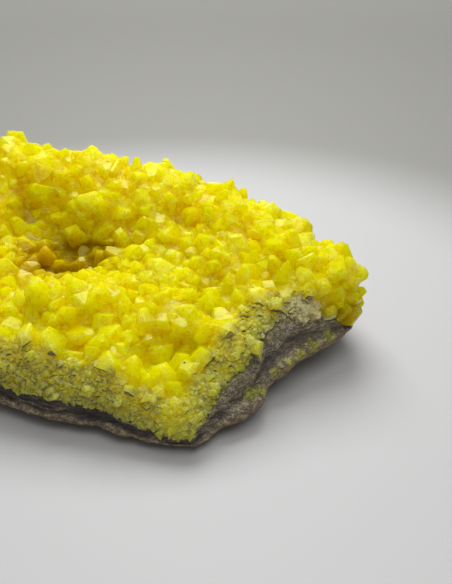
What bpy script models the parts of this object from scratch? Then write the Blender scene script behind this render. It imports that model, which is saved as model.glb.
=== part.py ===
# Native sulfur crystals on their matrix rock: a loose hand specimen, about 220 mm long.
# Blender 4.5, metres, +Z up. Run it with: blender --background --python part.py
# Two solids come out of it: matrix_rock, the layered slab that the crystals grew on, and
# sulfur_crystals, the crust of crystals grown together over its top.

import math
import random

import bmesh
import bpy
from mathutils import Matrix, Quaternion, Vector, noise

MM = 0.001

# ---- driving dimensions, in millimetres ----
CRUST_DEPTH = 15.0  # sulfur over the rock, away from the rim
GAP = 0.3  # clearance kept between the two solids
CRUST_OVERHANG = 2.4  # how far the crust's edge hangs past the rock's
TOP_SHARE = 0.66  # share of the crust's mesh that makes its upper side
EDGE_SHARE = 0.86  # and with its rounded edge
SEGMENTS = 60  # round the slab
CRUST_COARSENESS = 0.62  # share of the icosphere's triangles that the crust keeps
BROKEN_SIDE = math.radians(-36)  # segments lie closest together here
CROWDING = 0.45  # and by this share
UNDER_ROWS = 3
TOP_ROWS = 2
CRYSTAL_SEED = 11
CRYSTAL_SIZES = (5.0, 9.6)  # half of a crystal's width
CRYSTAL_ROOM = 1.0  # closest two crystals stand, against their two sizes
CRYSTAL_SINK = 0.2  # how deep a crystal's middle lies, against its size
CRYSTAL_TRIES = 9000
MIDDLE = (-1.7, 1.8)  # middle of the finished specimen, from the stations' centre
SULFUR_AXES = (0.8131, 1.0, 1.9034)  # orthorhombic sulfur, a : b : c

# The broken edge from the underside up: share of its height, share of its set-back
# reached there, and how far the bed stands out. The low bed ends in a ledge.
EDGE_BEDS = (
    (0.0, 0.0, -1.4),
    (0.11, 0.0, 1.2),
    (0.33, 0.06, 1.6),
    (0.4, 0.42, -0.8),
    (0.58, 0.46, -1.3),
    (0.66, 0.62, 1.0),
    (0.9, 0.86, 1.0),
    (1.0, 1.0, 0.0),
)
EDGE_CHIPS = 1.7  # depth of the chips broken out of it

# The slab's edge, station by station, anticlockwise from the front corner:
# angle in degrees, reach from the centre, height of the underside there, height of
# the rock's upper edge, how far that upper edge is set back, and how far in from it
# the crust takes to reach its full height.
RIM_STATIONS = (
    (-71, 88, 3, 9, 1, 16),
    (-63, 86, 4, 16, 5, 16),
    (-56, 86, 6, 24, 9, 16),
    (-46, 87, 7, 28, 11, 16),
    (-38, 82, 9, 33, 9, 15),
    (-33, 87, 12, 36, 13, 15),
    (-24, 90, 13, 38, 13, 14),
    (-14, 102, 15, 31, 8, 11),
    (-6, 110, 15, 22, 2, 9),
    (4, 110, 13, 23, 1, 9),
    (18, 100, 10, 31, 4, 12),
    (32, 95, 9, 36, 6, 13),
    (50, 83, 8, 37, 5, 14),
    (68, 82, 6, 37, 5, 14),
    (84, 78, 8, 40, 6, 14),
    (106, 90, 8, 43, 6, 14),
    (124, 98, 10, 41, 5, 11),
    (136, 113, 12, 38, 4, 10),
    (152, 117, 12, 32, 4, 12),
    (170, 116, 10, 26, 3, 14),
    (188, 105, 9, 25, 4, 15),
    (205, 99, 7, 21, 3, 16),
    (228, 81, 6, 18, 2, 16),
    (261, 73, 5, 16, 2, 16),
    (278, 80, 4, 12, 1, 16),
)

# Heights of the crust under its crystals: x, y, z.
RELIEF = (
    (22, -62, 24),
    (-14, -52, 34),
    (-52, -44, 37),
    (-84, -32, 37),
    (-22, -26, 47),
    (-58, -18, 46),
    (12, -30, 44),
    (-43, 22, 26),
    (-30, 14, 30),
    (-58, 30, 48),
    (-70, 8, 46),
    (-12, 10, 44),
    (18, 6, 46),
    (40, 6, 54),
    (20, 25, 52),
    (-28, 44, 66),
    (-30, 62, 80),
    (-64, 66, 84),
    (-88, 34, 70),
    (-98, 2, 50),
    (14, 46, 74),
    (46, 28, 66),
    (62, 30, 66),
    (80, 2, 59),
    (99, -8, 51),
    (42, -32, 40),
    (66, -24, 47),
    (2, 62, 75),
    (36, 54, 64),
    (72, 36, 56),
    (94, 14, 48),
    (-94, 52, 72),
    (-78, 74, 88),
)
RELIEF_REACH = 10.0  # how far one height's influence carries

# Crystals that stand out: middle, half-width, direction of the long axis, habit.
LARGE_CRYSTALS = (
    ((25, -79, 13.5), 7.0, (0.15, -0.6, -0.7), 3),
    ((-79, 78, 84), 8.0, (0.1, 0.1, 1.0), 0),
    ((77, -1, 60), 6.0, (0.1, 0.0, 1.0), 0),
    ((43, 33, 68), 5.5, (0.5, -0.1, 1.0), 1),
    ((8, -62, 25), 7.5, (-0.1, -0.5, 1.0), 9),
    ((-11, -52, 34), 9.0, (0.3, -0.5, 1.0), 10),
    ((-42, -30, 47), 9.5, (-0.2, -0.4, 1.0), 11),
    ((-20, -34, 45), 9.0, (0.3, -0.3, 1.0), 6),
    ((-48, 10, 46), 7.0, (0.2, -0.5, 1.0), 9),
    ((58, -20, 44), 7.0, (0.4, -0.6, 1.0), 7),
)


def clear_scene():
    for obj in list(bpy.data.objects):
        bpy.data.objects.remove(obj)


def collection(name):
    made = bpy.data.collections.new(name)
    bpy.context.scene.collection.children.link(made)
    return made


def material(name, colour, roughness):
    made = bpy.data.materials.new(name)
    made.use_nodes = True
    shader = made.node_tree.nodes["Principled BSDF"]
    shader.inputs["Base Color"].default_value = (*colour, 1.0)
    shader.inputs["Roughness"].default_value = roughness
    shader.inputs["Metallic"].default_value = 0.0
    return made


def finish_in(obj, made):
    """The object's one material, on flat faces: crystal and broken stone alike."""
    obj.data.materials.clear()
    obj.data.materials.append(made)
    for face in obj.data.polygons:
        face.use_smooth = False
        face.material_index = 0


def smooth(t):
    t = min(1.0, max(0.0, t))
    return t * t * (3 - 2 * t)


def at_station(angle, column):
    """A column of RIM_STATIONS at any angle, as a cubic through its stations."""
    first = RIM_STATIONS[0][0]
    degrees = first + (math.degrees(angle) - first) % 360
    count = len(RIM_STATIONS)
    i = max(k for k in range(count) if RIM_STATIONS[k][0] <= degrees)

    def knot(k):
        turns, place = divmod(k, count)
        return RIM_STATIONS[place][0] + 360 * turns, RIM_STATIONS[place][column]

    (a0, v0), (a1, v1), (a2, v2), (a3, v3) = (knot(i + k) for k in (-1, 0, 1, 2))
    t = (degrees - a1) / (a2 - a1)
    m1 = (v2 - v0) / (a2 - a0) * (a2 - a1)
    m2 = (v3 - v1) / (a3 - a1) * (a2 - a1)
    start = (2 * t**3 - 3 * t**2 + 1) * v1 + (t**3 - 2 * t**2 + t) * m1
    return start + (3 * t**2 - 2 * t**3) * v2 + (t**3 - t**2) * m2


def reach(angle):
    return at_station(angle, 1)


def rock_rim(angle):
    return reach(angle) - at_station(angle, 4)


def relief(x, y):
    """The crust's height away from its edge: nearby heights, weighted by distance."""
    total = weights = 0.0
    for px, py, pz in RELIEF:
        far = ((x - px) ** 2 + (y - py) ** 2) / RELIEF_REACH**2
        weight = 1.0 / (1.0 + far) ** 2.2
        total += weight * pz
        weights += weight
    lumps = 4.0 * noise.noise(Vector((x / 21, y / 21, 0.3)))
    lumps += 3.0 * noise.noise(Vector((x / 7, y / 7, 7.7)))
    return total / weights + lumps


def edge_share(x, y):
    """0 at the crust's edge, 1 where the crust has its full height."""
    angle = math.atan2(y, x)
    inside = rock_rim(angle) + CRUST_OVERHANG - math.hypot(x, y)
    t = min(1.0, max(0.0, inside / at_station(angle, 5)))
    return math.sqrt(1 - (1 - t) ** 2)


def crust_height(x, y):
    edge = at_station(math.atan2(y, x), 3)
    return edge + max(relief(x, y) - edge, 3) * edge_share(x, y)


def rock_height(x, y):
    """The rock's top, buried under the crust."""
    edge = at_station(math.atan2(y, x), 3)
    share = edge_share(x, y) ** 2
    return edge + (max(relief(x, y) - CRUST_DEPTH, edge * 0.75) - edge) * share


def underside(x, y):
    """Flat where the slab stands, rising towards its edge."""
    angle = math.atan2(y, x)
    out = math.hypot(x, y) / reach(angle)
    lift = at_station(angle, 2) * smooth((out - 0.55) / 0.45)
    dents = 1.3 * noise.noise(Vector((x / 16, y / 16, 3.1))) * smooth((out - 0.6) / 0.2)
    return max(0.0, lift + dents)


def edge_point(angle, bed):
    """A point of the slab's broken edge, on one line of its beds."""
    up, share, out = EDGE_BEDS[bed]
    low, high = at_station(angle, 2), at_station(angle, 3)
    height = low + (high - low) * up
    x, y = math.cos(angle), math.sin(angle)
    chips = noise.noise(Vector((x * 6, y * 6, height / 11)))
    chips += 0.6 * noise.noise(Vector((x * 15, y * 15, height / 5 + 5)))
    if bed < len(EDGE_BEDS) - 1:
        out += EDGE_CHIPS * chips
        height += 1.5 * noise.noise(Vector((x * 5, y * 5, bed + 20.0))) * min(bed, 1)
    out += reach(angle) - at_station(angle, 4) * share
    return (x * out, y * out, height)


def rock_point(angle, row):
    x, y = math.cos(angle), math.sin(angle)
    if row < UNDER_ROWS:
        out = reach(angle) * (row / UNDER_ROWS) ** 0.7
        return (x * out, y * out, underside(x * out, y * out))
    if row < UNDER_ROWS + len(EDGE_BEDS):
        return edge_point(angle, row - UNDER_ROWS)
    above = row - UNDER_ROWS - len(EDGE_BEDS) + 1
    out = rock_rim(angle) * (1 - above / TOP_ROWS)
    return (x * out, y * out, rock_height(x * out, y * out))


def crust_point(direction):
    """Where a point of the unit sphere goes: the crust's top, its rounded edge, or the rock."""
    angle = math.atan2(direction.y, direction.x)
    x, y = math.cos(angle), math.sin(angle)
    share = (1 - direction.z) / 2
    if share > EDGE_SHARE:
        out = (rock_rim(angle) - 2.5) * math.sqrt((1 - share) / (1 - EDGE_SHARE))
        x, y = x * out, y * out
        return (x, y, 0.6 * rock_height(x, y) + 0.4 * underside(x, y))
    edge, shoulder = rock_rim(angle) + CRUST_OVERHANG, at_station(angle, 5)
    if share > TOP_SHARE:
        turn = (EDGE_SHARE - share) / (EDGE_SHARE - TOP_SHARE) * math.pi / 2
        out = edge - shoulder * (1 - math.cos(turn))
    else:
        out = (edge - shoulder) * math.sqrt(share / TOP_SHARE)
    return (x * out, y * out, crust_height(x * out, y * out))


def object_of(bm, name):
    bmesh.ops.recalc_face_normals(bm, faces=bm.faces)
    mesh = bpy.data.meshes.new(name)
    bm.to_mesh(mesh)
    bm.free()
    return bpy.data.objects.new(name, mesh)


def rock_body(name, grown=0.0):
    """The slab, from a UV sphere whose rows become the underside, edge and top."""
    rows = UNDER_ROWS + len(EDGE_BEDS) - 1 + TOP_ROWS
    bm = bmesh.new()
    bmesh.ops.create_uvsphere(bm, u_segments=SEGMENTS, v_segments=rows, radius=1)
    for vert in bm.verts:
        row = round((math.asin(max(-1.0, min(1.0, vert.co.z))) / math.pi + 0.5) * rows)
        turn = math.atan2(vert.co.y, vert.co.x) - BROKEN_SIDE
        angle = BROKEN_SIDE + turn - CROWDING * math.sin(turn)
        vert.co = Vector(rock_point(angle, row)) * MM
    bmesh.ops.triangulate(bm, faces=bm.faces, quad_method="FIXED")
    if grown:
        bm.normal_update()
        moves = [vert.normal * grown * MM for vert in bm.verts]
        for vert, move in zip(bm.verts, moves):
            vert.co += move
    return object_of(bm, name)


def crust_body(name):
    """The crust before its crystals, from an icosphere spread over the slab."""
    bm = bmesh.new()
    bmesh.ops.create_icosphere(bm, subdivisions=4, radius=1)
    flat = [vert.index for vert in bm.verts if vert.co.z > 1 - 2 * TOP_SHARE]
    for vert in bm.verts:
        vert.co = Vector(crust_point(vert.co.normalized())) * MM
    crust = object_of(bm, name)
    crust.vertex_groups.new(name="away_from_edge").add(flat, 1.0, "REPLACE")
    coarser = crust.modifiers.new("coarser", "DECIMATE")
    coarser.ratio = CRUST_COARSENESS
    coarser.vertex_group = "away_from_edge"
    return crust


def cut_off(bm, normal, distance):
    """Everything beyond a plane removed, and the cut closed with one flat face."""
    cut = bmesh.ops.bisect_plane(
        bm,
        geom=bm.verts[:] + bm.edges[:] + bm.faces[:],
        plane_co=normal * distance,
        plane_no=normal,
        dist=1e-5,
        clear_outer=True,
    )
    edges = [e for e in cut["geom_cut"] if isinstance(e, bmesh.types.BMEdge)]
    if len(edges) > 2:
        bmesh.ops.contextual_create(bm, geom=edges)


def crystal_faces(h, k, l):
    """The face normals of one crystal form, from its Miller indices."""
    a, b, c = SULFUR_AXES
    found = set()
    for sx in (1, -1) if h else (1,):
        for sy in (1, -1) if k else (1,):
            for sz in (1, -1) if l else (1,):
                found.add((sx * h / a, sy * k / b, sz * l / c))
    return [Vector(face).normalized() for face in sorted(found)]


def crystal_habit(rng, base, shoulder, side):
    """One sulfur crystal of half-width about 1, a steep pyramid each way.

    base, shoulder and side are how far out (001), (113) and (011) cut it.
    """
    bm = bmesh.new()
    bmesh.ops.create_cube(bm, size=4)
    for normal in crystal_faces(1, 1, 1):
        cut_off(bm, normal, 0.6 * rng.uniform(0.9, 1.12))
    for normal in crystal_faces(0, 0, 1):
        cut_off(bm, normal, base * rng.uniform(0.9, 1.1))
    for normal in crystal_faces(1, 1, 3):
        cut_off(bm, normal, shoulder * rng.uniform(0.92, 1.08))
    for normal in crystal_faces(0, 1, 1):
        cut_off(bm, normal, side * rng.uniform(0.92, 1.08))
    return object_of(bm, "habit").data


def habits():
    """Three crystals each of four habits: blunt, low-capped, short and many-sided."""
    rng = random.Random(CRYSTAL_SEED)
    made = []
    for base, shoulder, side in ((1.2, 9, 9), (9, 0.8, 9), (0.85, 9, 9), (1.1, 0.85, 0.75)):
        made += [crystal_habit(rng, base, shoulder, side) for _ in range(3)]
    return made


def random_lean(rng):
    return Vector((rng.gauss(0, 1), rng.gauss(0, 1), rng.gauss(0, 1))).normalized()


def placed(crystal, rng):
    """A crystal's matrix: its long axis along axis, spun about it, partly sunk."""
    point, axis, size, _ = crystal
    turn = Vector((0, 0, 1)).rotation_difference(axis)
    spin = Quaternion((0, 0, 1), rng.uniform(0, math.tau))
    sunk = point - axis * size * CRYSTAL_SINK * MM
    place = Matrix.Translation(sunk) @ (turn @ spin).to_matrix().to_4x4()
    return place @ Matrix.Scale(size * MM, 4)


def scatter(crust):
    """Crystals over the crust, evenly by area: point, long axis, size and habit."""
    rng = random.Random(CRYSTAL_SEED)
    bm = bmesh.new()
    bm.from_mesh(crust.data)
    crystals = []
    for centre, size, axis, habit in LARGE_CRYSTALS:
        crystals.append((Vector(centre) * MM, Vector(axis).normalized(), size, habit))
    faces = [face for face in bm.faces if face.normal.z > -0.2]
    areas = [face.calc_area() for face in faces]
    for face in rng.choices(faces, areas, k=CRYSTAL_TRIES):
        a, b, c = (vert.co for vert in face.verts)
        u, v = rng.random(), rng.random()
        if u + v > 1:
            u, v = 1 - u, 1 - v
        point = a + (b - a) * u + (c - a) * v
        edge = rock_rim(math.atan2(point.y, point.x)) + CRUST_OVERHANG
        if point.xy.length > (edge + 0.2) * MM:
            continue
        size = CRYSTAL_SIZES[0] + (CRYSTAL_SIZES[1] - CRYSTAL_SIZES[0]) * rng.random() ** 1.7
        if any((point - c[0]).length < (size + c[2]) * CRYSTAL_ROOM * MM for c in crystals):
            continue
        axis = (face.normal + Vector((0, 0, 0.3)) + random_lean(rng) * 0.8).normalized()
        habit = rng.randrange(12 if size > 7 else 9)
        crystals.append((point, axis, size, habit))
    bm.free()
    return crystals


def in_groups(crystals):
    """Crystals sorted into groups in which none touches another."""
    groups = []
    for crystal in sorted(crystals, key=lambda c: -c[2]):
        point, size = crystal[0], crystal[2]
        for group in groups:
            if all((point - c[0]).length > (size + c[2]) * 1.3 * MM for c in group):
                group.append(crystal)
                break
        else:
            groups.append([crystal])
    return groups


def group_body(name, group, meshes, rng):
    bm = bmesh.new()
    for crystal in group:
        piece = meshes[crystal[3]].copy()
        piece.transform(placed(crystal, rng))
        bm.from_mesh(piece)
        bpy.data.meshes.remove(piece)
    return object_of(bm, name)


def boolean(target, tool, operation):
    step = target.modifiers.new(tool.name, "BOOLEAN")
    step.object = tool
    step.operation = operation
    step.solver = "EXACT"


def settle(obj):
    """The object's modifiers applied, and chips cut loose from it left out."""
    graph = bpy.context.evaluated_depsgraph_get()
    mesh = bpy.data.meshes.new_from_object(obj.evaluated_get(graph))
    obj.modifiers.clear()
    bm = bmesh.new()
    bm.from_mesh(mesh)
    left = set(bm.verts)
    bodies = []
    while left:
        body, edge = set(), [left.pop()]
        while edge:
            vert = edge.pop()
            body.add(vert)
            for link in vert.link_edges:
                other = link.other_vert(vert)
                if other in left:
                    left.discard(other)
                    edge.append(other)
        bodies.append(body)
    largest = max(bodies, key=len)
    bmesh.ops.delete(bm, geom=[v for v in bm.verts if v not in largest], context="VERTS")
    bm.to_mesh(mesh)
    bm.free()
    obj.data = mesh
    count = sum(len(face.vertices) - 2 for face in mesh.polygons)
    print(obj.name, count, "triangles,", len(bodies) - 1, "chips left out")


def main():
    clear_scene()
    parts, cutters = collection("sulfur_specimen"), collection("cutters")
    rock = rock_body("matrix_rock")
    parts.objects.link(rock)
    crust = crust_body("sulfur_crystals")
    parts.objects.link(crust)
    meshes = habits()
    crystals = scatter(crust)
    groups = in_groups(crystals)
    print(len(crystals), "crystals in", len(groups), "groups")
    rng = random.Random(CRYSTAL_SEED)
    tools = [
        group_body(f"crystals_{number}", group, meshes, rng)
        for number, group in enumerate(groups)
    ]
    for tool in tools:
        boolean(crust, tool, "UNION")
    tools.append(rock_body("rock_clearance", GAP))
    boolean(crust, tools[-1], "DIFFERENCE")
    for tool in tools:
        cutters.objects.link(tool)
        tool.hide_render = True
        tool.display_type = "WIRE"
    settle(crust)
    finish_in(rock, material("matrix_stone", (0.14, 0.115, 0.095), 0.9))
    finish_in(crust, material("sulfur", (0.78, 0.68, 0.01), 0.3))
    for solid in (rock, crust):
        solid.data.transform(Matrix.Translation((-MIDDLE[0] * MM, -MIDDLE[1] * MM, 0)))


main()
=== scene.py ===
import math
import random

import bmesh
import bpy
import numpy as np
from mathutils import Matrix, Quaternion, Vector, noise


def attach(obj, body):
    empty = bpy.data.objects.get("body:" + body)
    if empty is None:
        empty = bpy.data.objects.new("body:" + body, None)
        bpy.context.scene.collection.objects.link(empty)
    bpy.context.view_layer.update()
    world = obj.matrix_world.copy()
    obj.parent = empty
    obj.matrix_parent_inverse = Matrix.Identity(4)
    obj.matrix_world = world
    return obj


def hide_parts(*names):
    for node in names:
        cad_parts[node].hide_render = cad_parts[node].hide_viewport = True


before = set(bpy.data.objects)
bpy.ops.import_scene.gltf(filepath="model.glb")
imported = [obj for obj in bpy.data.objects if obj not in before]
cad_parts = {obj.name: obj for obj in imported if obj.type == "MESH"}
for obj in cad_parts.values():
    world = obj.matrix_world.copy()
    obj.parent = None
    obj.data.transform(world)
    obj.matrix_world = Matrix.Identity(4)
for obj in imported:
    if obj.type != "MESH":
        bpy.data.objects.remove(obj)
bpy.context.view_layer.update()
mm = 0.001
print("frame loaded:", ", ".join(sorted(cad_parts)))


def placed(name, data):
    made = bpy.data.objects.new(name, data)
    bpy.context.scene.collection.objects.link(made)
    return made


def mark(mesh, name, values, domain="POINT"):
    mesh.attributes.new(name, "FLOAT", domain).data.foreach_set("value", values)


def dress(made, material):
    made.data.materials.clear()
    made.data.materials.append(material)
    made.data.polygons.foreach_set("material_index", [0] * len(made.data.polygons))


# Plan of the slab, in millimetres from the middle that its stations are measured from.
slab = {
    "middle": (-1.7, 1.8),
    "crustDepth": 15.0,
    "overhang": 2.4,
    # subdivisions of the ball that the crust is pulled from: as joined, and for the first scatter
    "ballSteps": (6, 4),
    "topShare": 0.66,
    "edgeShare": 0.86,
    "reliefReach": 10.0,
    "reliefFade": 2.2,
    "leastCrust": 3,
    "leastRock": 0.75,
    "tuckedUnder": 2.5,
    # the underside rises, and gets its dents, from this share of the reach and over this much of it
    "lift": (0.55, 0.45),
    "dented": (0.6, 0.2),
    # height or depth, size, seed
    "lumps": ((4.0, 21, 0.3), (3.0, 7, 7.7)),
    "dents": (1.3, 16, 3.1),
    # angle, reach, underside, upper edge, set-back of the upper edge, crust's shoulder
    "stations": (
        (-71, 88, 3, 9, 1, 16), (-63, 86, 4, 16, 5, 16), (-56, 86, 6, 24, 9, 16),
        (-46, 87, 7, 28, 11, 16), (-38, 82, 9, 33, 9, 15), (-33, 87, 12, 36, 13, 15),
        (-24, 90, 13, 38, 13, 14), (-14, 102, 15, 31, 8, 11), (-6, 110, 15, 22, 2, 9),
        (4, 110, 13, 23, 1, 9), (18, 100, 10, 31, 4, 12), (32, 95, 9, 36, 6, 13),
        (50, 83, 8, 37, 5, 14), (68, 82, 6, 37, 5, 14), (84, 78, 8, 40, 6, 14),
        (106, 90, 8, 43, 6, 14), (124, 98, 10, 41, 5, 11), (136, 113, 12, 38, 4, 10),
        (152, 117, 12, 32, 4, 12), (170, 116, 10, 26, 3, 14), (188, 105, 9, 25, 4, 15),
        (205, 99, 7, 21, 3, 16), (228, 81, 6, 18, 2, 16), (261, 73, 5, 16, 2, 16),
        (278, 80, 4, 12, 1, 16),
    ),
    # heights of the crust under its crystals: x, y, z
    "relief": (
        (22, -62, 24), (-14, -52, 34), (-52, -44, 37), (-84, -32, 37), (-22, -26, 47),
        (-58, -18, 46), (12, -30, 44), (-43, 22, 26), (-30, 14, 30), (-58, 30, 48),
        (-70, 8, 46), (-12, 10, 44), (18, 6, 46), (40, 6, 54), (20, 25, 52),
        (-28, 44, 66), (-30, 62, 80), (-64, 66, 84), (-88, 34, 70), (-98, 2, 50),
        (14, 46, 74), (46, 28, 66), (62, 30, 66), (80, 2, 59), (99, -8, 51),
        (42, -32, 40), (66, -24, 47), (2, 62, 75), (36, 54, 64), (72, 36, 56),
        (94, 14, 48), (-94, 52, 72), (-78, 74, 88),
    ),
}


def smooth(t):
    t = min(1.0, max(0.0, t))
    return t * t * (3 - 2 * t)


def atStation(angle, column):
    # a smooth curve round the slab through one column of its stations
    stations = slab["stations"]
    first = stations[0][0]
    degrees = first + (math.degrees(angle) - first) % 360
    count = len(stations)
    i = max(k for k in range(count) if stations[k][0] <= degrees)

    def knot(k):
        turns, place = divmod(k, count)
        return stations[place][0] + 360 * turns, stations[place][column]

    (a0, v0), (a1, v1), (a2, v2), (a3, v3) = (knot(i + k) for k in (-1, 0, 1, 2))
    t = (degrees - a1) / (a2 - a1)
    m1 = (v2 - v0) / (a2 - a0) * (a2 - a1)
    m2 = (v3 - v1) / (a3 - a1) * (a2 - a1)
    start = (2 * t**3 - 3 * t**2 + 1) * v1 + (t**3 - 2 * t**2 + t) * m1
    return start + (3 * t**2 - 2 * t**3) * v2 + (t**3 - t**2) * m2


def rockRim(angle):
    return atStation(angle, 1) - atStation(angle, 4)


def lump(x, y, height, size, seed):
    return height * noise.noise(Vector((x / size, y / size, seed)))


def relief(x, y):
    total = weights = 0.0
    for px, py, pz in slab["relief"]:
        far = ((x - px) ** 2 + (y - py) ** 2) / slab["reliefReach"] ** 2
        weight = 1.0 / (1.0 + far) ** slab["reliefFade"]
        total += weight * pz
        weights += weight
    return total / weights + sum(lump(x, y, *shape) for shape in slab["lumps"])


def edgeShareAt(x, y):
    angle = math.atan2(y, x)
    inside = rockRim(angle) + slab["overhang"] - math.hypot(x, y)
    t = min(1.0, max(0.0, inside / atStation(angle, 5)))
    return math.sqrt(1 - (1 - t) ** 2)


def crustHeight(x, y):
    edge = atStation(math.atan2(y, x), 3)
    return edge + max(relief(x, y) - edge, slab["leastCrust"]) * edgeShareAt(x, y)


def rockHeight(x, y):
    edge = atStation(math.atan2(y, x), 3)
    share = edgeShareAt(x, y) ** 2
    return edge + (max(relief(x, y) - slab["crustDepth"], edge * slab["leastRock"]) - edge) * share


def underside(x, y):
    angle = math.atan2(y, x)
    out = math.hypot(x, y) / atStation(angle, 1)
    (liftStart, liftSpan), (dentStart, dentSpan) = slab["lift"], slab["dented"]
    lift = atStation(angle, 2) * smooth((out - liftStart) / liftSpan)
    return max(0.0, lift + lump(x, y, *slab["dents"]) * smooth((out - dentStart) / dentSpan))


# A point of the crust for each direction of a ball: top, rounded shoulder, then the underside.
def crustPoint(direction):
    angle = math.atan2(direction.y, direction.x)
    x, y = math.cos(angle), math.sin(angle)
    share = (1 - direction.z) / 2
    if share > slab["edgeShare"]:
        out = rockRim(angle) - slab["tuckedUnder"]
        out *= math.sqrt((1 - share) / (1 - slab["edgeShare"]))
        x, y = x * out, y * out
        return (x, y, 0.6 * rockHeight(x, y) + 0.4 * underside(x, y))
    edge, shoulder = rockRim(angle) + slab["overhang"], atStation(angle, 5)
    if share > slab["topShare"]:
        turn = (slab["edgeShare"] - share) / (slab["edgeShare"] - slab["topShare"]) * math.pi / 2
        out = edge - shoulder * (1 - math.cos(turn))
    else:
        out = (edge - shoulder) * math.sqrt(share / slab["topShare"])
    return (x * out, y * out, crustHeight(x * out, y * out))


def objectOf(bm, name):
    bmesh.ops.recalc_face_normals(bm, faces=bm.faces)
    mesh = bpy.data.meshes.new(name)
    bm.to_mesh(mesh)
    bm.free()
    return placed(name, mesh)


def crustBody(name, subdivisions):
    bm = bmesh.new()
    bmesh.ops.create_icosphere(bm, subdivisions=subdivisions, radius=1)
    for vert in bm.verts:
        vert.co = Vector(crustPoint(vert.co.normalized())) * mm
    return objectOf(bm, name)


# Crystals of orthorhombic sulfur: flat faces at the angles of its crystal forms.
crystalForms = {
    "axes": (0.8131, 1.0, 1.9034),
    "seed": 11,
    "blank": 4,
    "pyramid": 0.6,
    # how far out the base, the shoulder and the side faces cut
    "habits": ((1.2, 9, 9), (9, 0.8, 9), (0.85, 9, 9), (1.1, 0.85, 0.75)),
    "shapesOfEach": 3,
    "cornerSeed": 4,
    "cornerShare": 0.7,
    "cornerCut": (0.89, 0.98),
    "apart": 1.3,
    "groundTint": 0.4,
    # no crystal stands higher than this, in millimetres
    "ceiling": 90.0,
}


def cutOff(bm, normal, distance):
    cut = bmesh.ops.bisect_plane(
        bm,
        geom=bm.verts[:] + bm.edges[:] + bm.faces[:],
        plane_co=normal * distance,
        plane_no=normal,
        dist=1e-5,
        clear_outer=True,
    )
    edges = [e for e in cut["geom_cut"] if isinstance(e, bmesh.types.BMEdge)]
    if len(edges) > 2:
        bmesh.ops.contextual_create(bm, geom=edges)


def formFaces(h, k, l):
    a, b, c = crystalForms["axes"]
    found = set()
    for sx in (1, -1) if h else (1,):
        for sy in (1, -1) if k else (1,):
            for sz in (1, -1) if l else (1,):
                found.add((sx * h / a, sy * k / b, sz * l / c))
    return [Vector(face).normalized() for face in sorted(found)]


def crystalMesh(rng, cornerRng, base, shoulder, side):
    bm = bmesh.new()
    bmesh.ops.create_cube(bm, size=crystalForms["blank"])
    for form, distance, least, most in (
        ((1, 1, 1), crystalForms["pyramid"], 0.9, 1.12),
        ((0, 0, 1), base, 0.9, 1.1),
        ((1, 1, 3), shoulder, 0.92, 1.08),
        ((0, 1, 1), side, 0.92, 1.08),
    ):
        for normal in formFaces(*form):
            cutOff(bm, normal, distance * rng.uniform(least, most))
    # small corner faces, cut a little inside the outermost corner each way
    for normal in formFaces(0, 1, 1) + formFaces(1, 0, 1) + formFaces(1, 1, 3) + formFaces(0, 0, 1):
        reach = max(vert.co.dot(normal) for vert in bm.verts)
        if cornerRng.random() < crystalForms["cornerShare"]:
            cutOff(bm, normal, reach * cornerRng.uniform(*crystalForms["cornerCut"]))
    bmesh.ops.recalc_face_normals(bm, faces=bm.faces)
    bmesh.ops.triangulate(bm, faces=bm.faces)
    bm.verts.index_update()
    points = np.array([vert.co for vert in bm.verts])
    faces = np.array([[vert.index for vert in face.verts] for face in bm.faces])
    bm.free()
    return points, faces


def crystalMeshes():
    rng = random.Random(crystalForms["seed"])
    cornerRng = random.Random(crystalForms["cornerSeed"])
    made = []
    for base, shoulder, side in crystalForms["habits"]:
        for _ in range(crystalForms["shapesOfEach"]):
            made.append(crystalMesh(rng, cornerRng, base, shoulder, side))
    return made


def randomLean(rng):
    return Vector((rng.gauss(0, 1), rng.gauss(0, 1), rng.gauss(0, 1))).normalized()


# The crystals that make the druse's relief. Middle, half-width, long axis, habit.
largeCrystals = {
    "seed": 11,
    "sizes": (5.0, 9.6),
    "sizeBias": 1.7,
    "room": 1.0,
    "sink": 0.2,
    "tries": 9000,
    "overRim": 0.2,
    "steepest": -0.2,
    "lean": 0.8,
    "upward": 0.3,
    "groupCell": 26,
    # half-width from which a crystal may have the squat habit
    "squatFrom": 7,
    # smaller where the ground is fine-grained, from this height up
    "fineShrink": 0.78,
    "fineAbove": 20.0,
    "named": (
        ((25, -79, 13.5), 7.0, (0.15, -0.6, -0.7), 3),
        ((-79, 78, 84), 8.0, (0.1, 0.1, 1.0), 0),
        ((77, -1, 60), 6.0, (0.1, 0.0, 1.0), 0),
        ((43, 33, 68), 5.5, (0.5, -0.1, 1.0), 1),
        ((8, -62, 25), 7.5, (-0.1, -0.5, 1.0), 9),
        ((-11, -52, 34), 9.0, (0.3, -0.5, 1.0), 10),
        ((-42, -30, 47), 9.5, (-0.2, -0.4, 1.0), 11),
        ((-20, -34, 45), 9.0, (0.3, -0.3, 1.0), 6),
        ((-48, 10, 46), 7.0, (0.2, -0.5, 1.0), 9),
        ((58, -20, 44), 7.0, (0.4, -0.6, 1.0), 7),
    ),
}


def pointOn(face, rng):
    a, b, c = (vert.co for vert in face.verts)
    u, v = rng.random(), rng.random()
    if u + v > 1:
        u, v = 1 - u, 1 - v
    return a + (b - a) * u + (c - a) * v


def onTheCrust(point, margin):
    edge = rockRim(math.atan2(point.y, point.x)) + slab["overhang"]
    return point.xy.length <= (edge + margin) * mm


def namedCrystals(kind):
    return [
        (Vector(centre) * mm, Vector(axis).normalized(), size, habit)
        for centre, size, axis, habit in kind["named"]
    ]


def growthAxis(face, kind, rng):
    lean = randomLean(rng) * kind["lean"]
    return (face.normal + Vector((0, 0, kind["upward"])) + lean).normalized()


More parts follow.
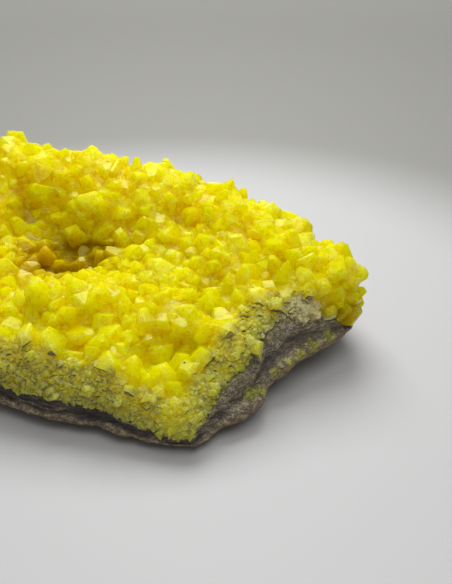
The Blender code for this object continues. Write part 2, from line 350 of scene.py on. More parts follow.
def scatterLarge(body):
    rng = random.Random(largeCrystals["seed"])
    low, high = largeCrystals["sizes"]
    squat = len(crystalForms["habits"]) * crystalForms["shapesOfEach"]
    plain = squat - crystalForms["shapesOfEach"]
    bm = bmesh.new()
    bm.from_mesh(body.data)
    crystals = namedCrystals(largeCrystals)
    faces = [face for face in bm.faces if face.normal.z > largeCrystals["steepest"]]
    areas = [face.calc_area() for face in faces]
    for face in rng.choices(faces, areas, k=largeCrystals["tries"]):
        point = pointOn(face, rng)
        if not onTheCrust(point, largeCrystals["overRim"]):
            continue
        size = low + (high - low) * rng.random() ** largeCrystals["sizeBias"]
        room = largeCrystals["room"] * mm
        if any((point - c[0]).length < (size + c[2]) * room for c in crystals):
            continue
        axis = growthAxis(face, largeCrystals, rng)
        habit = rng.randrange(squat if size > largeCrystals["squatFrom"] else plain)
        crystals.append((point, axis, size, habit))
    bm.free()
    return crystals


# Smaller crystals fill the ground between them, finest along the broken corner.
smallCrystals = {
    "seed": 29,
    "kinds": (
        # sizes, room, tries, share of them that stand in fine-grained ground
        ((6.4, 9.6), 0.52, 5000, 0.0),
        ((4.4, 6.6), 0.54, 3000, 0.03),
        ((1.8, 3.0), 0.44, 6000, 0.8),
        ((1.0, 1.7), 0.46, 11000, 1.0),
    ),
    "sizeBias": 1.5,
    "overRim": 0.1,
    "steepest": -0.45,
    "lean": 0.95,
    "upward": 0.2,
    "sink": 0.45,
    "cell": 14,
    "groupCell": 20,
    # middle, half-width, long axis, habit
    "named": (((-74, 78, 87), 7.5, (0.1, 0.1, 1.0), 0),),
    # where the far side starts, over how much it comes in, how much deeper they sit there
    "farSink": (15, 25, 0.4),
    # grains under this size are left out
    "least": 1.06,
    # low along the front, anything over this size is shrunk
    "lowFront": {"under": 18.0, "before": -30.0, "over": 4, "shrink": 0.4},
    # fine-grained ground, by bearing: start, fade, end, fade, then width from the rim and fade
    "fineGround": ((-80, 10, -24, 12, 9, 6), (-170, 20, -80, 10, 8, 4)),
    # reach, size and seed of the wander in its inner edge
    "fineWander": (4.0, 10, 2.0),
}


def fineZone(x, y):
    # 1 where the crust is fine-grained: wide behind the broken corner, narrower along the front
    angle = math.degrees(math.atan2(y, x))
    inside = rockRim(math.radians(angle)) + slab["overhang"] - math.hypot(x, y)
    inside += lump(x, y, *smallCrystals["fineWander"])
    found = []
    for start, fadeIn, end, fadeOut, width, fade in smallCrystals["fineGround"]:
        along = smooth((angle - start) / fadeIn) * (1 - smooth((angle - end) / fadeOut))
        found.append(along * (1 - smooth((inside - width) / fade)))
    return max(found)


def around(grid, key):
    steps = (-1, 0, 1)
    cells = ((key[0] + i, key[1] + j, key[2] + k) for i in steps for j in steps for k in steps)
    return [crystal for cell in cells for crystal in grid.get(cell, ())]


# Only fine grains stand on the larger crystals, and only where the ground is fine.
def scatterSmall(body, large):
    rng = random.Random(smallCrystals["seed"])
    bm = bmesh.new()
    bm.from_mesh(body.data)
    for mesh in large:
        bm.from_mesh(mesh)
    bm.faces.ensure_lookup_table()
    faces = [face for face in bm.faces if face.normal.z > smallCrystals["steepest"]]
    ground = len(body.data.polygons)
    fines = []
    for face in faces:
        centre = face.calc_center_median() / mm
        fine = fineZone(centre.x, centre.y)
        fines.append(fine if face.index < ground or fine > 0.5 else 0.0)
    cell = smallCrystals["cell"] * mm
    grid, crystals = {}, namedCrystals(smallCrystals)
    habits = len(crystalForms["habits"]) * crystalForms["shapesOfEach"]
    for (low, high), spacing, tries, fineShare in smallCrystals["kinds"]:
        areas = []
        for face, fine in zip(faces, fines):
            coarsely = (1 - fine) * (1 - fineShare) * (face.index < ground)
            areas.append(face.calc_area() * (coarsely + fine * fineShare))
        for face in rng.choices(faces, areas, k=tries):
            point = pointOn(face, rng)
            if not onTheCrust(point, smallCrystals["overRim"]):
                continue
            size = low + (high - low) * rng.random() ** smallCrystals["sizeBias"]
            key = tuple(math.floor(value / cell) for value in point)
            room = spacing * mm
            if any((point - c[0]).length < (size + c[2]) * room for c in around(grid, key)):
                continue
            axis = growthAxis(face, smallCrystals, rng)
            crystal = (point, axis, size, rng.randrange(habits))
            grid.setdefault(key, []).append(crystal)
            crystals.append(crystal)
    bm.free()
    return crystals


def inGroups(crystals, cell):
    # crystals of one group keep clear of each other, so that each group joins cleanly
    groups, grids = [], []
    apart = crystalForms["apart"]
    for crystal in sorted(crystals, key=lambda c: -c[2]):
        point, size = crystal[0], crystal[2]
        key = [math.floor(value / cell) for value in point]
        for group, grid in zip(groups, grids):
            near = around(grid, key)
            if all((point - c[0]).length > (size + c[2]) * apart * mm for c in near):
                break
        else:
            group, grid = [], {}
            groups.append(group)
            grids.append(grid)
        group.append(crystal)
        grid.setdefault(tuple(key), []).append(crystal)
    return groups


def meshOf(name, points, faces):
    mesh = bpy.data.meshes.new(name)
    mesh.vertices.add(len(points))
    mesh.vertices.foreach_set("co", np.asarray(points, np.float32).ravel())
    mesh.loops.add(faces.size)
    mesh.loops.foreach_set("vertex_index", np.asarray(faces, np.int32).ravel())
    mesh.polygons.add(len(faces))
    mesh.polygons.foreach_set("loop_start", np.arange(0, faces.size, 3, dtype=np.int32))
    mesh.update(calc_edges=True)
    mesh.validate()
    return mesh


# Crystals are made smaller where the ground is fine, and low along the front.
def fittedSize(point, size):
    if size > largeCrystals["sizes"][0] and point.z > largeCrystals["fineAbove"] * mm:
        if fineZone(point.x / mm, point.y / mm) > 0.5:
            size *= largeCrystals["fineShrink"]
    low = smallCrystals["lowFront"]
    if size > low["over"] and point.z < low["under"] * mm and point.y < low["before"] * mm:
        size *= low["shrink"]
    return size


def groupBody(name, group, meshes, sink, rng, tintRng):
    points, faces, tints, rises, count = [], [], [], [], 0
    start, span, deeper = smallCrystals["farSink"]
    for point, axis, size, habit in group:
        shape, corners = meshes[habit]
        turn = Vector((0, 0, 1)).rotation_difference(axis)
        spin = Quaternion((0, 0, 1), rng.uniform(0, math.tau))
        tint = tintRng.random()
        if size < smallCrystals["least"] and points:
            continue
        size = fittedSize(point, size)
        far = smooth((point.y / mm - start) / span) * deeper * (sink == smallCrystals["sink"])
        sunk = point - axis * size * (sink + far) * mm
        turned = shape @ np.array((turn @ spin).to_matrix()).T * (size * mm)
        sunk.z -= max(0.0, turned[:, 2].max() + sunk.z - crystalForms["ceiling"] * mm)
        points.append(turned + np.array(sunk))
        faces.append(corners + count)
        count += len(shape)
        tints += [tint] * len(corners)
        rises += list(np.clip(shape[:, 2] * 0.5 + 0.45, 0, 1))
    mesh = meshOf(name, np.concatenate(points), np.concatenate(faces))
    mark(mesh, "tint", tints, "FACE")
    mark(mesh, "rise", rises)
    return placed(name, mesh)


def makeDruse():
    fineSteps, coarseSteps = slab["ballSteps"]
    crust = crustBody("crust", fineSteps)
    coarse = crustBody("coarseCrust", coarseSteps)
    meshes = crystalMeshes()
    large = scatterLarge(coarse)
    rng = random.Random(crystalForms["seed"])
    tintRng = random.Random(smallCrystals["seed"])
    tools = [
        groupBody(f"large{number}", group, meshes, largeCrystals["sink"], rng, tintRng)
        for number, group in enumerate(inGroups(large, largeCrystals["groupCell"] * mm))
    ]
    small = scatterSmall(crust, [tool.data for tool in tools])
    tools += [
        groupBody(f"small{number}", group, meshes, smallCrystals["sink"], rng, tintRng)
        for number, group in enumerate(inGroups(small, smallCrystals["groupCell"] * mm))
    ]
    print("crystals:", len(large), "large,", len(small), "small")
    ground = crust.data
    mark(ground, "tint", [crystalForms["groundTint"]] * len(ground.polygons), "FACE")
    mark(ground, "rise", [0.0] * len(ground.vertices))
    for tool in tools:
        join = crust.modifiers.new(tool.name, "BOOLEAN")
        join.object = tool
        join.operation = "UNION"
        join.solver = "MANIFOLD"
    graph = bpy.context.evaluated_depsgraph_get()
    mesh = bpy.data.meshes.new_from_object(crust.evaluated_get(graph))
    for spent in tools + [crust, coarse]:
        bpy.data.objects.remove(spent)
    mesh.name = "sulfurDruse"
    mesh.shade_flat()
    # the frame's origin lies under the middle of the object's box
    mesh.transform(Matrix.Translation((-slab["middle"][0] * mm, -slab["middle"][1] * mm, 0)))
    druse = placed("sulfurDruse", mesh)
    print("druse joined:", len(mesh.polygons), "faces from", len(tools), "groups")
    return druse


sulfurDruse = makeDruse()
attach(sulfurDruse, "root")
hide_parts("sulfur_crystals")


bumpDepth = 0.0006


# Node groups shared by the two finishes.
def groupNodes(name, inputs, outputs):
    tree = bpy.data.node_groups.new(name, "ShaderNodeTree")
    for socketName, kind, value in inputs:
        socket = tree.interface.new_socket(socketName, in_out="INPUT", socket_type=kind)
        socket.default_value = value
    for socketName, kind in outputs:
        tree.interface.new_socket(socketName, in_out="OUTPUT", socket_type=kind)
    return tree, tree.nodes.new("NodeGroupInput"), tree.nodes.new("NodeGroupOutput")


def addNode(tree, kind, settings=None, links=None, values=None):
    node = tree.nodes.new(kind)
    for key, value in (settings or {}).items():
        setattr(node, key, value)
    for key, value in (values or {}).items():
        node.inputs[key].default_value = value
    for key, socket in (links or {}).items():
        tree.links.new(socket, node.inputs[key])
    return node


def maths(tree, operation, first, second=None, clamp=False):
    node = addNode(tree, "ShaderNodeMath", {"operation": operation, "use_clamp": clamp})
    for index, value in enumerate((first, second)):
        if value is None:
            continue
        if isinstance(value, (int, float)):
            node.inputs[index].default_value = value
        else:
            tree.links.new(value, node.inputs[index])
    return node.outputs[0]


def vectorMaths(tree, operation, links, values=None):
    return addNode(tree, "ShaderNodeVectorMath", {"operation": operation}, links, values)


def plus(tree, first, second, clamp=False):
    return maths(tree, "ADD", first, second, clamp)


def times(tree, first, second):
    return maths(tree, "MULTIPLY", first, second)


def bothSides(tree, value, reach):
    # noise moved to run to both sides of zero
    return times(tree, maths(tree, "SUBTRACT", value, 0.5), reach)


def spread(tree, value, low, high, toLow=0.0, toHigh=1.0):
    node = addNode(
        tree,
        "ShaderNodeMapRange",
        {"interpolation_type": "SMOOTHSTEP"},
        {"Value": value},
        {"From Min": low, "From Max": high, "To Min": toLow, "To Max": toHigh},
    )
    return node.outputs["Result"]


def mixColour(tree, factor, first, second):
    node = addNode(tree, "ShaderNodeMix", {"data_type": "RGBA"})
    for index, value in ((0, factor), (6, first), (7, second)):
        if isinstance(value, (int, float)):
            node.inputs[index].default_value = value
        elif isinstance(value, tuple):
            node.inputs[index].default_value = (*value, 1.0)
        else:
            tree.links.new(value, node.inputs[index])
    return node.outputs[2]


def grains(tree, place, size, detail=3.0, rough=0.6, swirl=0.0):
    node = addNode(
        tree,
        "ShaderNodeTexNoise",
        None,
        {"Vector": place},
        {"Scale": 1.0 / (size * mm), "Detail": detail, "Roughness": rough, "Distortion": swirl},
    )
    return node.outputs["Fac"]


def useGroup(tree, group, links, values=None):
    return addNode(tree, "ShaderNodeGroup", {"node_tree": group}, links, values).outputs


def stretched(tree, place, scale):
    return addNode(tree, "ShaderNodeMapping", None, {"Vector": place}, {"Scale": scale}).outputs[0]


def bumpNormal(tree, height, strength, normal=None):
    links = {"Height": height} if normal is None else {"Height": height, "Normal": normal}
    values = {"Strength": strength, "Distance": bumpDepth}
    return addNode(tree, "ShaderNodeBump", None, links, values).outputs[0]


# Small blocks inside a crystal: each has its own shade, and a step where two meet.
def blocksGroup():
    tree, into, out = groupNodes(
        "crystalBlocks",
        (("Vector", "NodeSocketVector", (0, 0, 0)), ("Scale", "NodeSocketFloat", 400.0)),
        (("Shade", "NodeSocketFloat"), ("Height", "NodeSocketFloat")),
    )
    place, scale = into.outputs[:2]
    bend = {"Scale": 260.0, "Detail": 2.0}
    bent = addNode(tree, "ShaderNodeTexNoise", None, {"Vector": place}, bend).outputs["Color"]
    offset = vectorMaths(tree, "SCALE", {0: bent}, {"Scale": 0.002})
    moved = vectorMaths(tree, "ADD", {0: place, 1: offset.outputs[0]}).outputs[0]
    cells = addNode(tree, "ShaderNodeTexVoronoi", None, {"Vector": moved, "Scale": scale})
    split = addNode(tree, "ShaderNodeSeparateColor", None, {"Color": cells.outputs["Color"]})
    tree.links.new(split.outputs[0], out.inputs["Shade"])
    tilt = times(tree, split.outputs[1], 0.5)
    tree.links.new(maths(tree, "SUBTRACT", tilt, cells.outputs["Distance"]), out.inputs["Height"])
    return tree


crystalBlocks = blocksGroup()


# Speckle of two grain sizes, 0 to 1, for powdery crust and broken stone.
def speckleGroup():
    tree, into, out = groupNodes(
        "speckle",
        (
            ("Vector", "NodeSocketVector", (0, 0, 0)),
            ("Coarse", "NodeSocketFloat", 400.0),
            ("Fine", "NodeSocketFloat", 1500.0),
        ),
        (("Mask", "NodeSocketFloat"),),
    )
    masks = []
    for scale, detail, rough, share in ((1, 2.0, 0.6, 0.55), (2, 1.0, 0.5, 0.45)):
        links = {"Vector": into.outputs[0], "Scale": into.outputs[scale]}
        values = {"Detail": detail, "Roughness": rough}
        speckled = addNode(tree, "ShaderNodeTexNoise", None, links, values).outputs["Fac"]
        masks.append(times(tree, speckled, share))
    tree.links.new(spread(tree, plus(tree, *masks), 0.38, 0.62), out.inputs[0])
    return tree


speckle = speckleGroup()


# Granular stone: colour, and height for its bumps.
def stoneGroup():
    tree, into, out = groupNodes(
        "granularStone",
        (
            ("Vector", "NodeSocketVector", (0, 0, 0)),
            ("Dark", "NodeSocketColor", (0.15, 0.12, 0.08, 1)),
            ("Middle", "NodeSocketColor", (0.28, 0.235, 0.16, 1)),
            ("Light", "NodeSocketColor", (0.46, 0.40, 0.28, 1)),
        ),
        (("Colour", "NodeSocketColor"), ("Height", "NodeSocketFloat")),
    )
    place, dark, middle, light = into.outputs[:4]
    fine = useGroup(tree, speckle, {"Vector": place}, {"Coarse": 650.0, "Fine": 1900.0})[0]
    tone = plus(tree, fine, bothSides(tree, grains(tree, place, 6.0, 3.0), 1.2))
    colour = mixColour(tree, spread(tree, tone, 0.1, 0.5), dark, middle)
    colour = mixColour(tree, spread(tree, tone, 0.55, 1.1), colour, light)
    tree.links.new(colour, out.inputs["Colour"])
    tree.links.new(fine, out.inputs["Height"])
    return tree


granularStone = stoneGroup()


def newMaterial(name):
    made = bpy.data.materials.new(name)
    made.use_nodes = True
    tree = made.node_tree
    shader = tree.nodes["Principled BSDF"]
    place = addNode(tree, "ShaderNodeTexCoord").outputs["Object"]
    return made, tree, shader, place


def attribute(tree, name):
    return addNode(tree, "ShaderNodeAttribute", {"attribute_name": name}).outputs["Fac"]


# A ragged patch around each of a few places, 1 inside and 0 outside.
def patches(tree, place, spots, ragged):
    found = None
    for *centre, radius in spots:
        centre = [value * mm for value in centre]
        far = vectorMaths(tree, "DISTANCE", {0: place}, {1: centre}).outputs["Value"]
        inside = maths(tree, "SUBTRACT", 1.0, maths(tree, "DIVIDE", far, radius * mm))
        found = inside if found is None else maths(tree, "MAXIMUM", found, inside)
    return plus(tree, found, ragged)


# Sulfur: golden to greenish from crystal to crystal, with painted ochre shade in the hollows,
# the pit and at the crystals' feet, painted pale glints in patches, pale and powdery where it
# is fine-grained, clear enough for light to soak in.
sulfurLook = {
    "gold": (0.99, 0.76, 0.0),
    "lemon": (0.99, 0.86, 0.0),
    "green": (0.96, 0.90, 0.0),
    # colour of the random clouding, and of the painted shade in hollows, the pit and at crystal feet
    "ochreAndShade": (0.52, 0.34, 0.0),
    "powder": (0.90, 0.865, 0.15),
    # dark olive between the fine grains, partly painted shade in the gaps
    "grit": (0.34, 0.295, 0.055),
    # a painted glint colour, pale streaks standing in for small reflections
    "glintColour": (0.98, 0.96, 0.22),
    # the bare stone's tones, painted lighter than the rock's own, a painted light on its shaded face
    "stone": ((0.58, 0.48, 0.24), (0.94, 0.83, 0.46), (1.0, 0.96, 0.60)),
    "roughness": (0.08, 0.32),
    "bareRoughness": 0.85,
    "clear": 0.2,
    "ior": 1.38,
    "specular": 0.15,
    "soak": 0.03,
    "soakTint": (1.0, 0.8, 0.05),
    # sizes in millimetres of the clouding and of the blocks inside a crystal
    "cloud": 3.0,
    "block": 2.6,
    # how far the painted shade in hollows and at crystal feet, and the cloudy places, go to ochre
    "hollowShadeDepth": 0.8,
    "footShadeDepth": 0.12,
    "cloudDepth": 0.35,
    # how far the painted glints go to pale
    "glintShare": 0.75,
    "speckleScales": (600.0, 1700.0),
    "ripple": 0.22,
    "softEdge": 0.0005,
    # places in millimetres from the middle, and a radius
    # places that get painted shade over the pit in the crust
    "shadedPits": ((-43, 9, 37, 34), (-22, 12, 37, 22)),
    "speck": ((28.7, -62.3, 31.8, 0.6),),
    "bareSpots": (
        (80, -32, 38, 9), (86, -31, 36, 8), (75, -37, 35, 7), (97, -25, 29, 5), (66, -46, 34, 5),
    ),
}


def sulfurMaterial():
    made, tree, shader, place = newMaterial("sulfurCrystal")
    tint, rise = attribute(tree, "tint"), attribute(tree, "rise")
    hollowShadeMask, fine = attribute(tree, "hollowShadeMask"), attribute(tree, "fine")
    shade, steps = useGroup(tree, crystalBlocks, {"Vector": place}, {"Scale": 1000 / sulfurLook["block"]})
    cloud = grains(tree, place, sulfurLook["cloud"], 4.0, 0.6, 1.5)
    cloud = plus(tree, times(tree, cloud, 0.75), times(tree, shade, 0.25))
    mixed = plus(tree, times(tree, tint, 0.6), times(tree, cloud, 0.6))
    colour = mixColour(tree, spread(tree, mixed, 0.3, 0.75), sulfurLook["gold"], sulfurLook["lemon"])
    colour = mixColour(tree, spread(tree, mixed, 0.78, 1.0), colour, sulfurLook["green"])
    # painted shade over the pit
    pitShade = spread(tree, patches(tree, place, sulfurLook["shadedPits"], 0.0), 0.05, 0.6)
    # painted shade: darker where the crust lies below the height around it
    hollowShade = spread(tree, hollowShadeMask, 0.2, 0.9, 0.0, sulfurLook["hollowShadeDepth"])
    shadeAndCloud = plus(tree, hollowShade, spread(tree, cloud, 0.52, 0.34, 0.0, sulfurLook["cloudDepth"]))
    shadeAndCloud = plus(tree, shadeAndCloud, pitShade)
    # painted shade at the crystals' feet, in the gaps between them
    shadeAndCloud = plus(tree, shadeAndCloud, spread(tree, rise, 0.5, 0.2, 0.0, sulfurLook["footShadeDepth"]), clamp=True)
    # mix to ochre: painted shade in hollows, the pit and at crystal feet, and random clouding
    colour = mixColour(tree, shadeAndCloud, colour, sulfurLook["ochreAndShade"])

    # powder on the fine grains, grit between them; the grains are painted paler towards their tips and
    # darker at their feet, a painted highlight and shade, over random speckle
    scales = dict(zip(("Coarse", "Fine"), sulfurLook["speckleScales"]))
    speck = useGroup(tree, speckle, {"Vector": place}, scales)[0]
    grain = plus(tree, spread(tree, rise, 0.15, 0.75, 0.0, 0.25), times(tree, speck, 0.5))
    clumps = spread(tree, grains(tree, place, 2.6, 2.0), 0.38, 0.62, 0.0, 0.35)
    grain = plus(tree, grain, clumps, clamp=True)
    powder = mixColour(tree, grain, sulfurLook["grit"], sulfurLook["powder"])
    powdery = times(tree, fine, spread(tree, grains(tree, place, 5.0), 0.35, 0.6, 0.35, 1.0))
    colour = mixColour(tree, powdery, colour, powder)

    # painted glints: pale streaks in patches, standing in for small reflections
    glintStreaks = spread(tree, grains(tree, stretched(tree, place, (1.0, 2.6, 1.6)), 0.9, 2.0), 0.5, 0.62)
    glintPatches = times(tree, spread(tree, grains(tree, place, 6.0, 2.0), 0.55, 0.66), glintStreaks)
    colour = mixColour(tree, times(tree, glintPatches, sulfurLook["glintShare"]), colour, sulfurLook["glintColour"])

    # bare stone where the crust has broken off, in tones painted lighter than the rock's own to stand in
    # for light on its shaded face, and under the fine-grained rim
    ragged = bothSides(tree, grains(tree, place, 3.5, 4.0, 0.7), 2.4)
    bare = spread(tree, patches(tree, place, sulfurLook["bareSpots"], ragged), -0.1, 0.4)
    normal = addNode(tree, "ShaderNodeNewGeometry").outputs["True Normal"]
    facing = addNode(tree, "ShaderNodeSeparateXYZ", None, {0: normal}).outputs[2]
    under = times(tree, spread(tree, facing, 0.0, -0.3), spread(tree, fine, 0.3, 0.7))
    tones = dict(zip(("Dark", "Middle", "Light"), ((*tone, 1) for tone in sulfurLook["stone"])))
    stone = useGroup(tree, granularStone, {"Vector": place}, tones)["Colour"]
    stone = mixColour(tree, times(tree, speck, 0.25), stone, sulfurLook["powder"])
    colour = mixColour(tree, bare, colour, stone)
    colour = mixColour(tree, under, colour, useGroup(tree, granularStone, {"Vector": place})["Colour"])
    bare = maths(tree, "MAXIMUM", bare, under)

    # one dark speck
    dot = spread(tree, patches(tree, place, sulfurLook["speck"], 0.0), 0.0, 0.15)
    colour = mixColour(tree, dot, colour, (0.01, 0.01, 0.01))
    tree.links.new(colour, shader.inputs["Base Color"])

    low, high = sulfurLook["roughness"]
    worn = plus(tree, grains(tree, place, 3.0), times(tree, fine, 0.4))
    worn = spread(tree, worn, 0.35, 0.8, low, high)
    rough = maths(tree, "MAXIMUM", worn, times(tree, bare, sulfurLook["bareRoughness"]))
    tree.links.new(rough, shader.inputs["Roughness"])
    shader.inputs["IOR"].default_value = sulfurLook["ior"]
    shader.inputs["Specular IOR Level"].default_value = sulfurLook["specular"]
    shader.inputs["Transmission Weight"].default_value = sulfurLook["clear"]
    shader.inputs["Subsurface Scale"].default_value = sulfurLook["soak"]
    shader.inputs["Subsurface Radius"].default_value = sulfurLook["soakTint"]
    tree.links.new(maths(tree, "SUBTRACT", 1.0, bare), shader.inputs["Subsurface Weight"])
    # the painted glint patches also raise the bump
    height = plus(tree, grains(tree, place, 1.5, 3.0), times(tree, glintPatches, 0.3))
    height = plus(tree, height, steps)
    height = plus(tree, height, times(tree, times(tree, speck, fine), 1.2))
    softEdge = addNode(tree, "ShaderNodeBevel", {"samples": 6}, None, {"Radius": sulfurLook["softEdge"]})
    ripple = bumpNormal(tree, height, sulfurLook["ripple"], softEdge.outputs[0])
    tree.links.new(ripple, shader.inputs["Normal"])
    return made


# Hollows: how far a point lies below the average height around it, in millimetres. The sulfur is darkened
# by it, a painted shade.
hollows = {
    "halfMap": 130,
    "reach": 4,
    "rounds": 3,
    "fullDepth": 11.0,
    "everywhere": 0.05,
}


def averaged(values):
    reach = hollows["reach"]
    for axis in (0, 1) * hollows["rounds"]:
        values = sum(np.roll(values, k, axis) for k in range(-reach, reach + 1)) / (2 * reach + 1)
    return values


def markHollows(mesh):
    points = np.empty(len(mesh.vertices) * 3)
    mesh.vertices.foreach_get("co", points)
    points = points.reshape(-1, 3) / mm
    half = hollows["halfMap"]
    column, row = (np.clip((points[:, axis] + half).astype(int), 0, 2 * half - 1) for axis in (0, 1))
    highest = np.full((2 * half, 2 * half), -1.0)
    np.maximum.at(highest, (row, column), points[:, 2])
    found = (highest >= 0).astype(float)
    average = averaged(highest * found) / np.maximum(averaged(found), 1e-3)
    below = average[row, column] - points[:, 2]
    # the mask for the painted shade in the hollows
    mark(mesh, "hollowShadeMask", np.clip(below / hollows["fullDepth"] + hollows["everywhere"], 0, 1))
    mx, my = slab["middle"]
    mark(mesh, "fine", [fineZone(x + mx, y + my) for x, y in points[:, :2]])


markHollows(sulfurDruse.data)
dress(sulfurDruse, sulfurMaterial())
print("sulfur finished")


# The rock: the slab's own shape, broken finely along its beds. Lengths in millimetres.
rock = {
    "cell": 1.0,
    "smoothing": 3,
    "bedDepth": 0.5,
    "chipDepth": 1.0,
    "grainDepth": 0.45,
    "bedLean": 0.6,
    # size across, size up and down, seed
    "beds": (45, 1.5, 0),
    "grain": (1.3, 1.1, 0),
    # the same after a share of the depth
    "chips": ((1.0, 8, 4.5, 9), (0.5, 3.6, 2.4, 30)),
    # the lowest part stays flat to stand on
    "flatBelow": 1.5,
}


def breaks(x, y, z, across, up, seed):
    return noise.noise(Vector((x / across, y / across, z / up + seed)))


def makeRock():
    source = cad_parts["matrix_rock"]
    made = placed("matrixRock", source.data.copy())
    remesh = made.modifiers.new("evenFaces", "REMESH")
    remesh.mode = "VOXEL"
    remesh.voxel_size = rock["cell"] * mm
    worn = made.modifiers.new("wornEdges", "SMOOTH")
    worn.factor = 0.5
    worn.iterations = rock["smoothing"]
    graph = bpy.context.evaluated_depsgraph_get()
    mesh = bpy.data.meshes.new_from_object(made.evaluated_get(graph))
    made.modifiers.clear()
    made.data = mesh
    mx, my = slab["middle"]
    bed, moves = [], []
    for vert in mesh.vertices:
        x, y, z = vert.co.x / mm + mx, vert.co.y / mm + my, vert.co.z / mm
        angle = math.atan2(y, x)
        low, high = atStation(angle, 2), atStation(angle, 3)
        bed.append((z - low) / max(high - low, 3))
        level = z - low * rock["bedLean"]
        sheer = 1 - abs(vert.normal.z)
        chips = sum(share * breaks(x, y, level, *shape) for share, *shape in rock["chips"])
        depth = rock["bedDepth"] * breaks(x, y, level, *rock["beds"]) * sheer
        depth += rock["chipDepth"] * chips
        depth += rock["grainDepth"] * breaks(x, y, z, *rock["grain"])
        moves.append(vert.normal * depth * min(1.0, max(0.0, z) / rock["flatBelow"]) * mm)
    for vert, move in zip(mesh.vertices, moves):
        vert.co += move
    mark(mesh, "bed", bed)
    mesh.shade_smooth()
    print("rock broken:", len(mesh.polygons), "faces")
    return made


rockLook = {
    "slate": (0.07, 0.058, 0.054),
    "slatePale": (0.155, 0.13, 0.11),
    "tan": (0.35, 0.265, 0.165),
    "tanDark": (0.16, 0.12, 0.075),
    "dust": (0.55, 0.54, 0.08),
    "dustDeep": (0.24, 0.22, 0.05),
    "dustShare": 0.75,
    "roughness": 0.85,
    "specular": 0.3,
    "grit": 0.8,
    # places in millimetres from the middle, and a radius
    "dusted": (
        (70, -51, 17, 4), (76, -46, 18.5, 4), (82, -41.5, 19.8, 4.5), (89, -35, 20.5, 5),
        (97, -28, 21, 5), (58, -63, 14.3, 5), (63, -61, 13.8, 4), (104, 20, 18, 6),
        (-80, 50, 20, 7), (-30, 84, 22, 8),
    ),
}


def rockMaterial():
    made, tree, shader, place = newMaterial("matrixStone")
    wander = bothSides(tree, grains(tree, place, 18.0, 2.0), 0.35)
    level = plus(tree, attribute(tree, "bed"), wander)
    stone, height = useGroup(tree, granularStone, {"Vector": stretched(tree, place, (0.55, 0.55, 1.1))})
    along = addNode(tree, "ShaderNodeSeparateXYZ", None, {0: place}).outputs[0]

    # slate in the upper beds, stone-coloured and thinner towards the right
    layers = stretched(tree, place, (0.14, 0.14, 1.0))
    streak = grains(tree, layers, 0.8, 3.0, 0.65)
    slateTone = mixColour(tree, spread(tree, streak, 0.42, 0.68), rockLook["slate"], rockLook["slatePale"])
    slateTone = mixColour(tree, spread(tree, along, 0.03, 0.06, 0.0, 0.25), slateTone, stone)
    top = spread(tree, along, 0.05, 0.025, 0.56, 0.98)
    below = spread(tree, maths(tree, "SUBTRACT", top, level), -0.04, 0.06)
    slate = times(tree, spread(tree, level, 0.32, 0.4), below)
    slate = times(tree, slate, spread(tree, grains(tree, layers, 3.0, 2.0), 0.36, 0.46))
    colour = mixColour(tree, slate, stone, slateTone)

    # tan in the lowest beds
    tan = mixColour(tree, spread(tree, height, 0.2, 0.8), rockLook["tanDark"], rockLook["tan"])
    blotches = spread(tree, grains(tree, place, 7.0), 0.3, 0.55, 0.4, 1.0)
    colour = mixColour(tree, times(tree, spread(tree, level, 0.34, 0.2), blotches), colour, tan)

    # sulfur dust on the ledge and under the crust
    ragged = bothSides(tree, grains(tree, place, 2.2, 4.0, 0.7), 2.6)
    dusted = spread(tree, patches(tree, place, rockLook["dusted"], ragged), 0.05, 0.6)
    rim = spread(tree, plus(tree, level, times(tree, ragged, 0.14)), 0.72, 1.1)
    rim = times(tree, rim, spread(tree, along, 0.02, 0.05, 0.25, 0.9))
    dust = times(tree, maths(tree, "MAXIMUM", dusted, rim), rockLook["dustShare"])
    dustTone = mixColour(tree, height, rockLook["dustDeep"], rockLook["dust"])
    colour = mixColour(tree, dust, colour, dustTone)
    tree.links.new(colour, shader.inputs["Base Color"])

    shader.inputs["Roughness"].default_value = rockLook["roughness"]
    shader.inputs["Specular IOR Level"].default_value = rockLook["specular"]
    height = plus(tree, height, times(tree, streak, times(tree, slate, 1.5)))
    tree.links.new(bumpNormal(tree, height, rockLook["grit"]), shader.inputs["Normal"])
    return made


matrixRock = makeRock()
dress(matrixRock, rockMaterial())
print("rock finished")
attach(matrixRock, "root")
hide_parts("matrix_rock")


# Camera, table and light.
room = {
    "cameraAt": (0.0467, -0.2738, 0.200),
    "cameraDown": 32.0,
    "lens": 38.2,
    "nearest": 0.01,
    # the flat disc's radius, the curve's radius and the wall's height
    "flat": 0.35,
    "sweep": 0.6,
    "wall": 1.0,
    "curveSteps": 12,
    "turnSteps": 96,
    "paperRoughness": 0.6,
    "floor": (0.515, 0.515, 0.52),
    # painted shade: the paper darkens from the floor onto the curve and wall, and goes lighter again high
    # up, standing in for the fall-off of the light
    "shadedBackdrop": (0.29, 0.288, 0.272),
    "far": (0.39, 0.385, 0.36),
    "floorEnds": (0.20, 0.36),
    "farStarts": (0.60, 0.80),
    # place, size and power of each softbox
    "lights": (((-0.01, 0.36, 0.68), 0.5, 6.0), ((0.16, -0.25, 0.74), 0.5, 2.0)),
    "sky": 0.27,
}


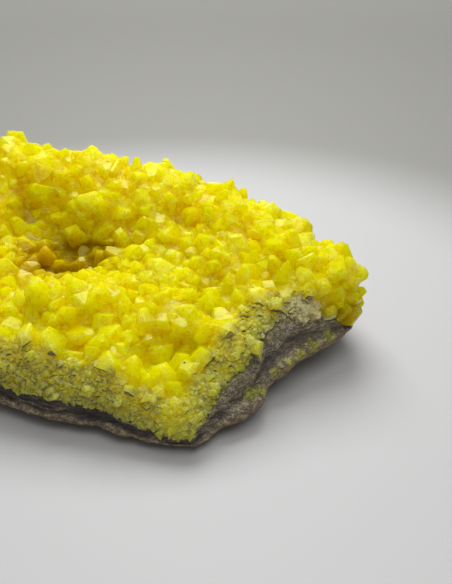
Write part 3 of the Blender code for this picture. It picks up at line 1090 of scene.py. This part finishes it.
def makeSweep():
    # a flat disc whose edge curves up into a wall all the way round
    profile = [(0.0, 0.0), (room["flat"], 0.0)]
    for step in range(1, room["curveSteps"] + 1):
        turn = step / room["curveSteps"] * math.pi / 2
        rise = room["sweep"] * (1 - math.cos(turn))
        profile.append((room["flat"] + room["sweep"] * math.sin(turn), rise))
    profile.append((room["flat"] + room["sweep"], room["wall"]))
    bm = bmesh.new()
    verts = [bm.verts.new((out, 0.0, height)) for out, height in profile]
    edges = [bm.edges.new(pair) for pair in zip(verts, verts[1:])]
    bmesh.ops.spin(
        bm,
        geom=verts + edges,
        cent=(0, 0, 0),
        axis=(0, 0, 1),
        angle=math.tau,
        steps=room["turnSteps"],
        use_merge=True,
    )
    bmesh.ops.remove_doubles(bm, verts=bm.verts, dist=1e-5)
    made = objectOf(bm, "sweep")
    made.data.shade_smooth()
    paper, tree, shader, place = newMaterial("paper")
    flat = vectorMaths(tree, "MULTIPLY", {0: place}, {1: (1, 1, 0)}).outputs[0]
    out = vectorMaths(tree, "LENGTH", {0: flat}).outputs["Value"]
    # painted shade onto the wall, and painted light again far out
    back = spread(tree, out, *room["floorEnds"])
    colour = mixColour(tree, back, room["floor"], room["shadedBackdrop"])
    colour = mixColour(tree, spread(tree, out, *room["farStarts"]), colour, room["far"])
    tree.links.new(colour, shader.inputs["Base Color"])
    shader.inputs["Roughness"].default_value = room["paperRoughness"]
    made.data.materials.append(paper)
    return made


makeSweep()

camera = placed("camera", bpy.data.cameras.new("camera"))
camera.data.lens = room["lens"]
camera.location = room["cameraAt"]
camera.rotation_euler = (math.radians(90 - room["cameraDown"]), 0, 0)
camera.data.clip_start = room["nearest"]
bpy.context.scene.camera = camera

for number, (place, size, power) in enumerate(room["lights"]):
    light = placed(f"softbox{number}", bpy.data.lights.new(f"softbox{number}", "AREA"))
    light.location = place
    light.rotation_euler = (-light.location).to_track_quat("-Z", "Y").to_euler()
    light.data.energy = power
    light.data.size = size

world = bpy.data.worlds.new("world")
world.use_nodes = True
world.node_tree.nodes["Background"].inputs[0].default_value = (1, 1, 1, 1)
world.node_tree.nodes["Background"].inputs[1].default_value = room["sky"]
bpy.context.scene.world = world
bpy.context.scene.view_settings.view_transform = "Standard"
print("table lit")
